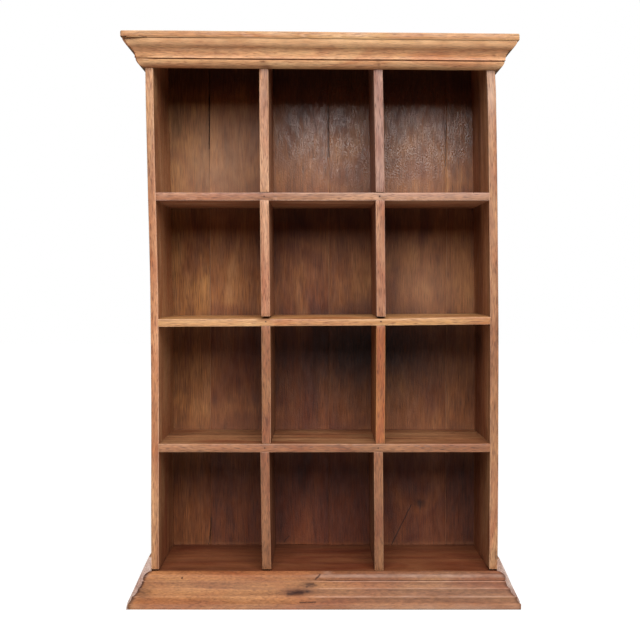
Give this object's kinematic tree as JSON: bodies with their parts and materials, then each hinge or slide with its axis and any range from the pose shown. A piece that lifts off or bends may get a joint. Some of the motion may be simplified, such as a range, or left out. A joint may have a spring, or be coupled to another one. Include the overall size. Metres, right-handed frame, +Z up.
{
  "type": "pigeonhole shelf",
  "caption": "Free-standing hardwood pigeonhole shelf: open compartments in rows between stopped-housed shelves and dividers, with ogee cornice and moulded skirting",
  "frame": {"origin": "on the floor under the middle of the overall box", "axes": "+Z up, front towards -Y, +X to the right of a person facing the front"},
  "size_m": [0.686, 0.259, 1],
  "materials": {
    "carcass_wood": "planed and waxed old hardwood, honey brown",
    "moulding_wood": "moulded, hand-sanded and waxed hardwood",
    "skirting_wood": "sawn, planed and waxed hardwood with pale end grain",
    "back_wood": "planed hardwood boards, reddish brown, worn wax",
    "plinth_wood": "sawn hardwood, unfinished",
    "nail_iron": "dull dark iron"
  },
  "bodies": {
    "root": {"left_side": "carcass_wood", "right_side": "carcass_wood", "top_board": "carcass_wood", "bottom_board": "carcass_wood", "upper_shelf": "carcass_wood", "middle_shelf": "carcass_wood", "lower_shelf": "carcass_wood", "left_top_divider": "carcass_wood", "left_second_divider": "carcass_wood", "left_third_divider": "carcass_wood", "left_bottom_divider": "carcass_wood", "right_top_divider": "carcass_wood", "right_second_divider": "carcass_wood", "right_third_divider": "carcass_wood", "right_bottom_divider": "carcass_wood", "cornice_front": "moulding_wood", "cornice_left": "moulding_wood", "cornice_right": "moulding_wood", "front_skirting": "moulding_wood", "left_skirting": "skirting_wood", "right_skirting": "skirting_wood", "back_board_1": "back_wood", "back_board_2": "back_wood", "back_board_3": "back_wood", "back_board_4": "back_wood", "plinth_front_rail": "plinth_wood", "plinth_back_rail": "plinth_wood", "plinth_left_rail": "plinth_wood", "plinth_right_rail": "plinth_wood", "shelf_nails": "nail_iron", "top_nails": "nail_iron", "bottom_nails": "nail_iron", "cornice_nails": "nail_iron", "skirting_nails": "nail_iron", "back_nails": "nail_iron", "crossing_pins": "nail_iron"}
  },
  "joints": []
}
